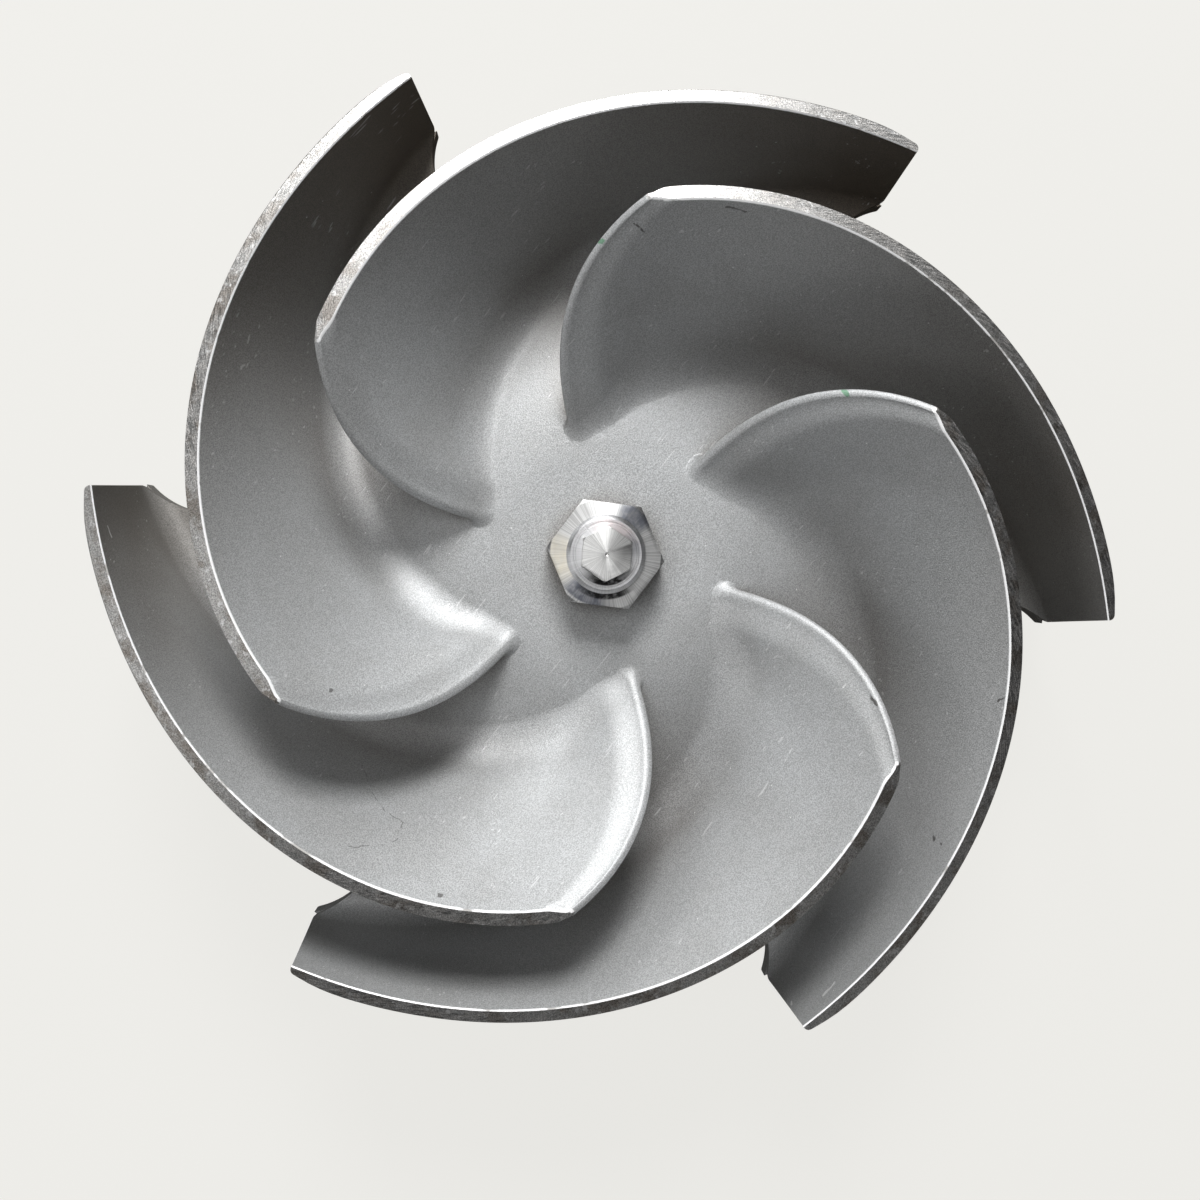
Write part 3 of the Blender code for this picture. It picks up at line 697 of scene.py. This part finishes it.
# Painted shade: toward one side the patches on the bands turn dark brown; toward another, and a little
# everywhere, they turn brown.
dark = times(tree, toward(tree, direction, BAND_SHADE_SIDE, -0.1, 0.7), BAND_SHADE_SHARE)
brown_and_shade = maths(tree, "MAXIMUM", plus(tree, BAND_BROWN_LEAST, brown), dark)
colour = mixed(tree, times(tree, marks["Scratches"], 0.25), BAND_STEEL, BAND_PINK)
colour = mixed(tree, times(tree, marks["Patches"], brown_and_shade), colour, BAND_BROWN_AND_SHADE)
grit = placed(tree, blast, Vector=place)["Fine"]
colour = shaded(tree, colour, ramp(tree, grit, 0, 1, BAND_GRIT_DARKEST, BAND_GRIT_PALEST))
bright = ramp(tree, noise(tree, place, BAND_BRIGHT_SCALE, 3, 0.7), 0.58, 0.66)
colour = mixed(tree, times(tree, bright, BAND_BRIGHT_SHARE), colour, EDGE_WHITE)
tree.links.new(colour, shader.inputs["Base Color"])
tree.links.new(ramp(tree, marks["Scratches"], 0, 1, 0.34, 0.54), shader.inputs["Roughness"])
bumped(tree, shader, plus(tree, marks["Rings"], times(tree, marks["Scratches"], 0.8)), 0.35, 0.00012)

# The broken front edges on the concave side: white and not metallic, a painted highlight, with grey nicks.
painted_glint_edge, tree, shader, place = finish("edge_break_painted_glint", EDGE_WHITE, 0.34)
shader.inputs["Metallic"].default_value = 0
nicks = ramp(tree, noise(tree, place, BURR_NICK_SCALE, 3, 0.6), 0.60, 0.66)
tree.links.new(mixed(tree, nicks, EDGE_WHITE, EDGE_GREY), shader.inputs["Base Color"])
tree.links.new(ramp(tree, nicks, 0, 1, 0.3, 0.5), shader.inputs["Roughness"])


def dress(piece, *metals):
    """Gives a piece its metals, in place of the empty slot that joining leaves."""
    piece.data.materials.clear()
    for metal in metals:
        piece.data.materials.append(metal)


dress(casting, blasted, turned_band, painted_glint_edge)

normals = np.empty(len(casting.data.polygons) * 3, np.float32)
centres = np.empty(len(casting.data.polygons) * 3, np.float32)
casting.data.polygons.foreach_get("normal", normals)
casting.data.polygons.foreach_get("center", centres)
normals, centres = normals.reshape(-1, 3), centres.reshape(-1, 3)
face_radius = np.hypot(centres[:, 0], centres[:, 1])
outward = (normals[:, 0] * centres[:, 0] + normals[:, 1] * centres[:, 1]) / np.maximum(face_radius, MERGE)
depth = front_height(face_radius) - centres[:, 2]
on_front = depth < BAND_DEPTH
on_rim = (OUTER_RADIUS - face_radius < RIM_DEPTH) & (outward > RIM_FACING)
on_boss = (centres[:, 2] < BOSS_CHAMFER) | (face_radius < BORE_RADIUS + BORE_CHAMFER)
slots = (on_front | on_rim | on_boss).astype(np.int32)
# The faces of the broken edges on the concave side take the painted highlight.
slots[on_front & (depth > BAND_CORNER) & (outward < 0)] = 2
casting.data.polygons.foreach_set("material_index", slots)
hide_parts("impeller_casting")
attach(casting, "root")


# The impeller screw
# A hexagon screw of bright steel clamps the impeller on its shaft. Its head is faced flat on a lathe and
# chamfered, and the hole through it takes the lock bolt.

SEAT_GAP = 0.0003
SCREW_ACROSS_FLATS, SCREW_HEAD_HEIGHT, SCREW_FACE_RADIUS = 0.041, 0.017, 0.0221
SCREW_TURN = 0.0
SCREW_SHANK_RADIUS, SCREW_SHANK_END_Z = 0.0135, 0.026
SCREW_HOLE_RADIUS = 0.0064
SCREW_ROUNDING, ROUNDING_STEPS, ROUNDING_ANGLE = 0.0003, 2, math.radians(20)
CHAMFER_SLOPE = math.tan(math.radians(30))
CHAMFER_OVER = 0.002
SMALL_STEPS = 96
FACE_RINGS, FACE_SLANT, FACE_BUMP = 5200.0, 0.01, 0.00003
FACE_SMOOTH, FACE_ROUGH = 0.31, 0.40
FACE_ANISOTROPY, FACE_HIGHLIGHT_TURN = 0.74, 0.25
CHATTER_MARKS, SCREW_CHATTER = 34.0, 0.3
# The fades and cloud scale of the patches on the fasteners
PATCH_INNER_FADE, PATCH_OUTER_FADE, PATCH_CLOUD_SCALE = 0.0006, 0.0008, 330
SCREW_STEEL, SCREW_STRAW = (0.66, 0.66, 0.655, 1), (0.64, 0.585, 0.45, 1)
# The dark grey is a painted reflection and the black a painted contact shadow.
PAINTED_DARK_REFLECTION, PAINTED_CONTACT_SHADOW = (0.13, 0.14, 0.175, 1), (0.02, 0.02, 0.02, 1)

# Each patch's angle in the photograph, inner and outer radius, half width in degrees, share and colour
# On the hexagon the black patch is a painted contact shadow below the washer, the dark grey ones are painted
# reflections, and the straw one is a tint.
SCREW_SHADE_AND_TINT_PATCHES = [(52, 0.0150, 0.0225, 26, 0.85, PAINTED_DARK_REFLECTION), (243, 0.0150, 0.0215, 34, 0.9, PAINTED_DARK_REFLECTION),
                (268, 0.0150, 0.0184, 48, 1.0, PAINTED_CONTACT_SHADOW), (185, 0.0150, 0.0225, 35, 0.6, SCREW_STRAW)]

screw_seat = NOSE_Z + SEAT_GAP
screw_top = screw_seat + SCREW_HEAD_HEIGHT


def round_bar(radius, low, high):
    """A round bar on the shaft axis."""
    bpy.ops.mesh.primitive_cylinder_add(vertices=SMALL_STEPS, radius=radius, depth=high - low,
                                        location=(0, 0, (low + high) / 2))
    bpy.ops.object.transform_apply(location=True, rotation=True, scale=True)
    return bpy.context.object


def hexagon_head(name, across_flats, low, high, face_radius, turn, rounding):
    """A hexagon head with a corner at this turn, a front chamfered at 30 degrees and eased edges."""
    corner = across_flats / math.sqrt(3)
    middle, start_turn = (low + high) / 2, turn - math.pi / 6
    bpy.ops.mesh.primitive_cylinder_add(vertices=6, radius=corner, depth=high - low, location=(0, 0, middle),
                                        rotation=(0, 0, start_turn))
    head = bpy.context.object
    head.name = head.data.name = name
    bpy.ops.object.transform_apply(location=True, rotation=True, scale=True)
    over, clear = CHAMFER_OVER, corner + CHAMFER_OVER
    cut_profile = [(face_radius - over / CHAMFER_SLOPE, high + over), (clear, high + over)]
    cut_profile.append((clear, high - (clear - face_radius) * CHAMFER_SLOPE))
    join(head, turned("chamfer", cut_profile, SMALL_STEPS), "DIFFERENCE")
    eased = head.modifiers.new("eased_edges", "BEVEL")
    eased.width = rounding
    eased.segments = ROUNDING_STEPS
    eased.limit_method = "ANGLE"
    eased.angle_limit = ROUNDING_ANGLE
    bpy.ops.object.modifier_apply(modifier=eased.name)
    return head


def faced_steel(name, steel, shade_and_tint_patches, chatter):
    """Bright steel faced on a lathe, with rings, chatter across the rings, and listed patches of painted
    shadow, painted reflection and tint.
    """
    made, tree, shader, place = finish(name, steel, 0.24)
    marks = placed(tree, turning, Vector=place, Rings=FACE_RINGS, Slant=FACE_SLANT)
    distance, direction = polar(tree, place)
    spokes = vector_maths(tree, "SCALE", direction, CHATTER_MARKS)
    spokes = ramp(tree, noise(tree, spokes, 1, 2, 0.6), 0.35, 0.65)
    colour = shaded(tree, steel, ramp(tree, spokes, 0, 1, 1 - chatter, 1))
    # Patches in sectors of a ring: painted contact shadows, painted reflections and tints.
    for photo_angle, near, far, width, share, patch_colour in shade_and_tint_patches:
        edge, core = math.cos(math.radians(width)), math.cos(math.radians(width / 3))
        spot = toward(tree, direction, photo_angle, edge, core)
        reach = times(tree, ramp(tree, distance, near - PATCH_INNER_FADE, near),
                      ramp(tree, distance, far, far - PATCH_OUTER_FADE))
        cloud = ramp(tree, noise(tree, place, PATCH_CLOUD_SCALE, 3, 0.6), 0.36, 0.60, 0.7, 1)
        colour = mixed(tree, times(tree, times(tree, spot, reach), times(tree, cloud, share)), colour, patch_colour)
    tree.links.new(colour, shader.inputs["Base Color"])
    tree.links.new(ramp(tree, marks["Rings"], 0.3, 0.7, FACE_SMOOTH, FACE_ROUGH), shader.inputs["Roughness"])
    shader.inputs["Anisotropic"].default_value = FACE_ANISOTROPY
    shader.inputs["Anisotropic Rotation"].default_value = FACE_HIGHLIGHT_TURN
    tangent = node(tree, "Tangent", {}, direction_type="RADIAL", axis="Z").outputs[0]
    tree.links.new(tangent, shader.inputs["Tangent"])
    bumped(tree, shader, plus(tree, marks["Rings"], times(tree, spokes, chatter)), 0.2, FACE_BUMP)
    return made


screw = hexagon_head("impeller_screw_head", SCREW_ACROSS_FLATS, screw_seat, screw_top, SCREW_FACE_RADIUS,
                     SCREW_TURN, SCREW_ROUNDING)
join(screw, round_bar(SCREW_SHANK_RADIUS, SCREW_SHANK_END_Z, screw_seat + CHAMFER_OVER), "UNION")
screw_hole = round_bar(SCREW_HOLE_RADIUS, SCREW_SHANK_END_Z - CHAMFER_OVER, screw_top + CHAMFER_OVER)
join(screw, screw_hole, "DIFFERENCE")
smooth(screw, SMOOTH_ANGLE)
dress(screw, faced_steel("faced_screw_steel", SCREW_STEEL, SCREW_SHADE_AND_TINT_PATCHES, SCREW_CHATTER))
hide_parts("impeller_screw")
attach(screw, "root")


# The washer
# A thick plain washer of bright steel under the lock bolt's head. It is turned, with a broad bevel round its
# rim and a shallow ring worn by the head.

WASHER_RADIUS, WASHER_THICKNESS, WASHER_CHAMFER = 0.0157, 0.004, 0.0014
WORN_RING_FROM, WORN_RING_TO, WORN_RING_DEPTH = 0.0121, 0.0131, 0.00018
WASHER_EASE = 0.0002
WASHER_SMOOTH_ANGLE = math.radians(20)
WASHER_CHATTER = 0.15
WASHER_STEEL, WASHER_PINK = (0.70, 0.70, 0.71, 1), (0.74, 0.64, 0.64, 1)
# On the washer the black patch is a painted contact shadow below the bolt head, the dark grey one a painted
# reflection, and the pink one a tint.
WASHER_SHADE_AND_TINT_PATCHES = [(275, 0.0080, 0.0128, 62, 1.0, PAINTED_CONTACT_SHADOW), (70, 0.0080, 0.0142, 60, 0.6, WASHER_PINK),
                 (20, 0.0080, 0.0142, 30, 0.4, PAINTED_DARK_REFLECTION)]

washer_seat = screw_top + SEAT_GAP
washer_top = washer_seat + WASHER_THICKNESS
bevel_radius, bevel_end = WASHER_RADIUS - WASHER_CHAMFER, washer_top - WASHER_CHAMFER
ring_floor = washer_top - WORN_RING_DEPTH
washer_profile = [(SCREW_HOLE_RADIUS, washer_top), (WORN_RING_FROM, washer_top)]
washer_profile += [(WORN_RING_FROM + WASHER_EASE, ring_floor), (WORN_RING_TO - WASHER_EASE, ring_floor)]
washer_profile += [(WORN_RING_TO, washer_top), (bevel_radius - WASHER_EASE, washer_top)]
washer_profile.append((bevel_radius, washer_top - WASHER_EASE / 2))
washer_profile += [(WASHER_RADIUS - WASHER_EASE / 2, bevel_end), (WASHER_RADIUS, bevel_end - WASHER_EASE)]
washer_profile += [(WASHER_RADIUS, washer_seat + WASHER_EASE), (WASHER_RADIUS - WASHER_EASE, washer_seat)]
washer_profile.append((SCREW_HOLE_RADIUS, washer_seat))
washer = turned("washer", washer_profile, SMALL_STEPS)
smooth(washer, WASHER_SMOOTH_ANGLE)
dress(washer, faced_steel("turned_washer_steel", WASHER_STEEL, WASHER_SHADE_AND_TINT_PATCHES, WASHER_CHATTER))
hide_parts("lock_washer")
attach(washer, "root")


# The lock bolt
# A small hexagon bolt through the washer keeps the impeller screw from turning. Its head is faced with fine
# rings and has the small centre dimple that the lathe left.

BOLT_ACROSS_FLATS, BOLT_HEAD_HEIGHT, BOLT_FACE_RADIUS = 0.019, 0.0078, 0.0104
BOLT_SHANK_RADIUS, BOLT_END_Z = 0.0060, 0.020
BOLT_TURN = math.radians(33)
BOLT_ROUNDING = 0.0002
DIMPLE_RADIUS, DIMPLE_DEPTH, DIMPLE_STEPS = 0.0007, 0.0004, 32
BOLT_STEEL = (0.74, 0.74, 0.73, 1)
BOLT_CHATTER = 0.35

bolt_seat = washer_top + SEAT_GAP
bolt_top = bolt_seat + BOLT_HEAD_HEIGHT
bolt = hexagon_head("lock_bolt_head", BOLT_ACROSS_FLATS, bolt_seat, bolt_top, BOLT_FACE_RADIUS, BOLT_TURN,
                    BOLT_ROUNDING)
join(bolt, round_bar(BOLT_SHANK_RADIUS, BOLT_END_Z, bolt_seat + CHAMFER_OVER), "UNION")
bpy.ops.mesh.primitive_cone_add(vertices=DIMPLE_STEPS, radius1=0, radius2=2 * DIMPLE_RADIUS,
                                depth=2 * DIMPLE_DEPTH, location=(0, 0, bolt_top))
dimple = bpy.context.object
bpy.ops.object.transform_apply(location=True, rotation=True, scale=True)
join(bolt, dimple, "DIFFERENCE")
smooth(bolt, SMOOTH_ANGLE)
dress(bolt, faced_steel("faced_bolt_steel", BOLT_STEEL, [], BOLT_CHATTER))
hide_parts("lock_bolt")
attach(bolt, "root")


# The studio
# Soft boxes stand round the impeller on a wide floor, the strongest of them past the photograph's top edge.
# The camera sees a pale floor and wall, and the metal sees dark ones.

PHOTO_PIXELS = 1200
CENTRE_PIXEL_X, CENTRE_PIXEL_Y = 604, 554.7
FOCAL_PIXELS = 1210.9
SENSOR_WIDTH = 36
CAMERA_PLACE = (-0.0203, -0.0027, 0.562)
CAMERA_TILT = (0.30, -2.336)
WALL_SEEN, WALL_DIM = (0.85, 0.84, 0.81, 1), (0.03, 0.03, 0.031, 1)
FLOOR_SIZE = 16
FLOOR_SEEN, FLOOR_PAINT = (0.785, 0.778, 0.748, 1), (0.072, 0.071, 0.069, 1)
FLOOR_UNDER = (0.02, 0.018, 0.015, 1)
LIGHT_DISTANCE = 2.4

# Each soft box's bearing and zenith angle in the photograph's axes, its width and height, and its brightness
SOFT_BOXES = {"key": (92, 48, 0.85, 0.85, 26.0), "horizon": (118, 69, 0.8, 1.4, 4.2),
              "left_fill": (195, 56, 0.8, 1.3, 1.7), "right_fill": (300, 56, 0.7, 1.6, 0.3),
              "low_fill": (268, 82, 0.6, 1.8, 0.7), "ceiling": (150, 13, 1.3, 1.3, 1.9)}

bpy.ops.mesh.primitive_plane_add(size=FLOOR_SIZE)
floor = bpy.context.object
floor.name = "floor"
floor_paint = bpy.data.materials.new("floor_paint")
floor_paint.use_nodes = True
tree = floor_paint.node_tree
shader = tree.nodes["Principled BSDF"]
shader.inputs["Roughness"].default_value = 0.9
shader.inputs["Specular IOR Level"].default_value = 0.1
seen = tree.nodes.new("ShaderNodeLightPath").outputs["Is Camera Ray"]
tree.links.new(mixed(tree, seen, FLOOR_UNDER, FLOOR_PAINT), shader.inputs["Base Color"])
tree.links.new(mixed(tree, seen, FLOOR_UNDER, FLOOR_SEEN), shader.inputs["Emission Color"])
shader.inputs["Emission Strength"].default_value = 1
floor.data.materials.append(floor_paint)

photo_axes = bpy.data.objects.new("photo_axes", None)
photo_axes.rotation_euler.z = -PHOTO_TURN
bpy.context.scene.collection.objects.link(photo_axes)

for name, (bearing, zenith, width, height, brightness) in SOFT_BOXES.items():
    lamp = bpy.data.lights.new(name, "AREA")
    lamp.shape = "RECTANGLE"
    lamp.size, lamp.size_y = width, height
    lamp.energy = brightness * math.pi * width * height
    soft_box = bpy.data.objects.new(name, lamp)
    soft_box.parent = photo_axes
    bearing, zenith = math.radians(bearing), math.radians(zenith)
    reach = LIGHT_DISTANCE * math.sin(zenith)
    up = LIGHT_DISTANCE * math.cos(zenith)
    soft_box.location = (reach * math.cos(bearing), reach * math.sin(bearing), up)
    soft_box.rotation_euler = (0, zenith, bearing)
    bpy.context.scene.collection.objects.link(soft_box)

world = bpy.data.worlds.new("studio")
bpy.context.scene.world = world
world.use_nodes = True
tree = world.node_tree
seen = tree.nodes.new("ShaderNodeLightPath").outputs["Is Camera Ray"]
tree.links.new(mixed(tree, seen, WALL_DIM, WALL_SEEN), tree.nodes["Background"].inputs["Color"])

camera = bpy.data.objects.new("camera", bpy.data.cameras.new("camera"))
camera.parent = photo_axes
camera.location = CAMERA_PLACE
camera.rotation_euler = [math.radians(turn) for turn in (*CAMERA_TILT, 0)]
camera.data.sensor_width = SENSOR_WIDTH
camera.data.lens = SENSOR_WIDTH * FOCAL_PIXELS / PHOTO_PIXELS
camera.data.shift_x = 0.5 - CENTRE_PIXEL_X / PHOTO_PIXELS
camera.data.shift_y = CENTRE_PIXEL_Y / PHOTO_PIXELS - 0.5
bpy.context.scene.collection.objects.link(camera)
bpy.context.scene.camera = camera
bpy.context.scene.view_settings.view_transform = "Standard"
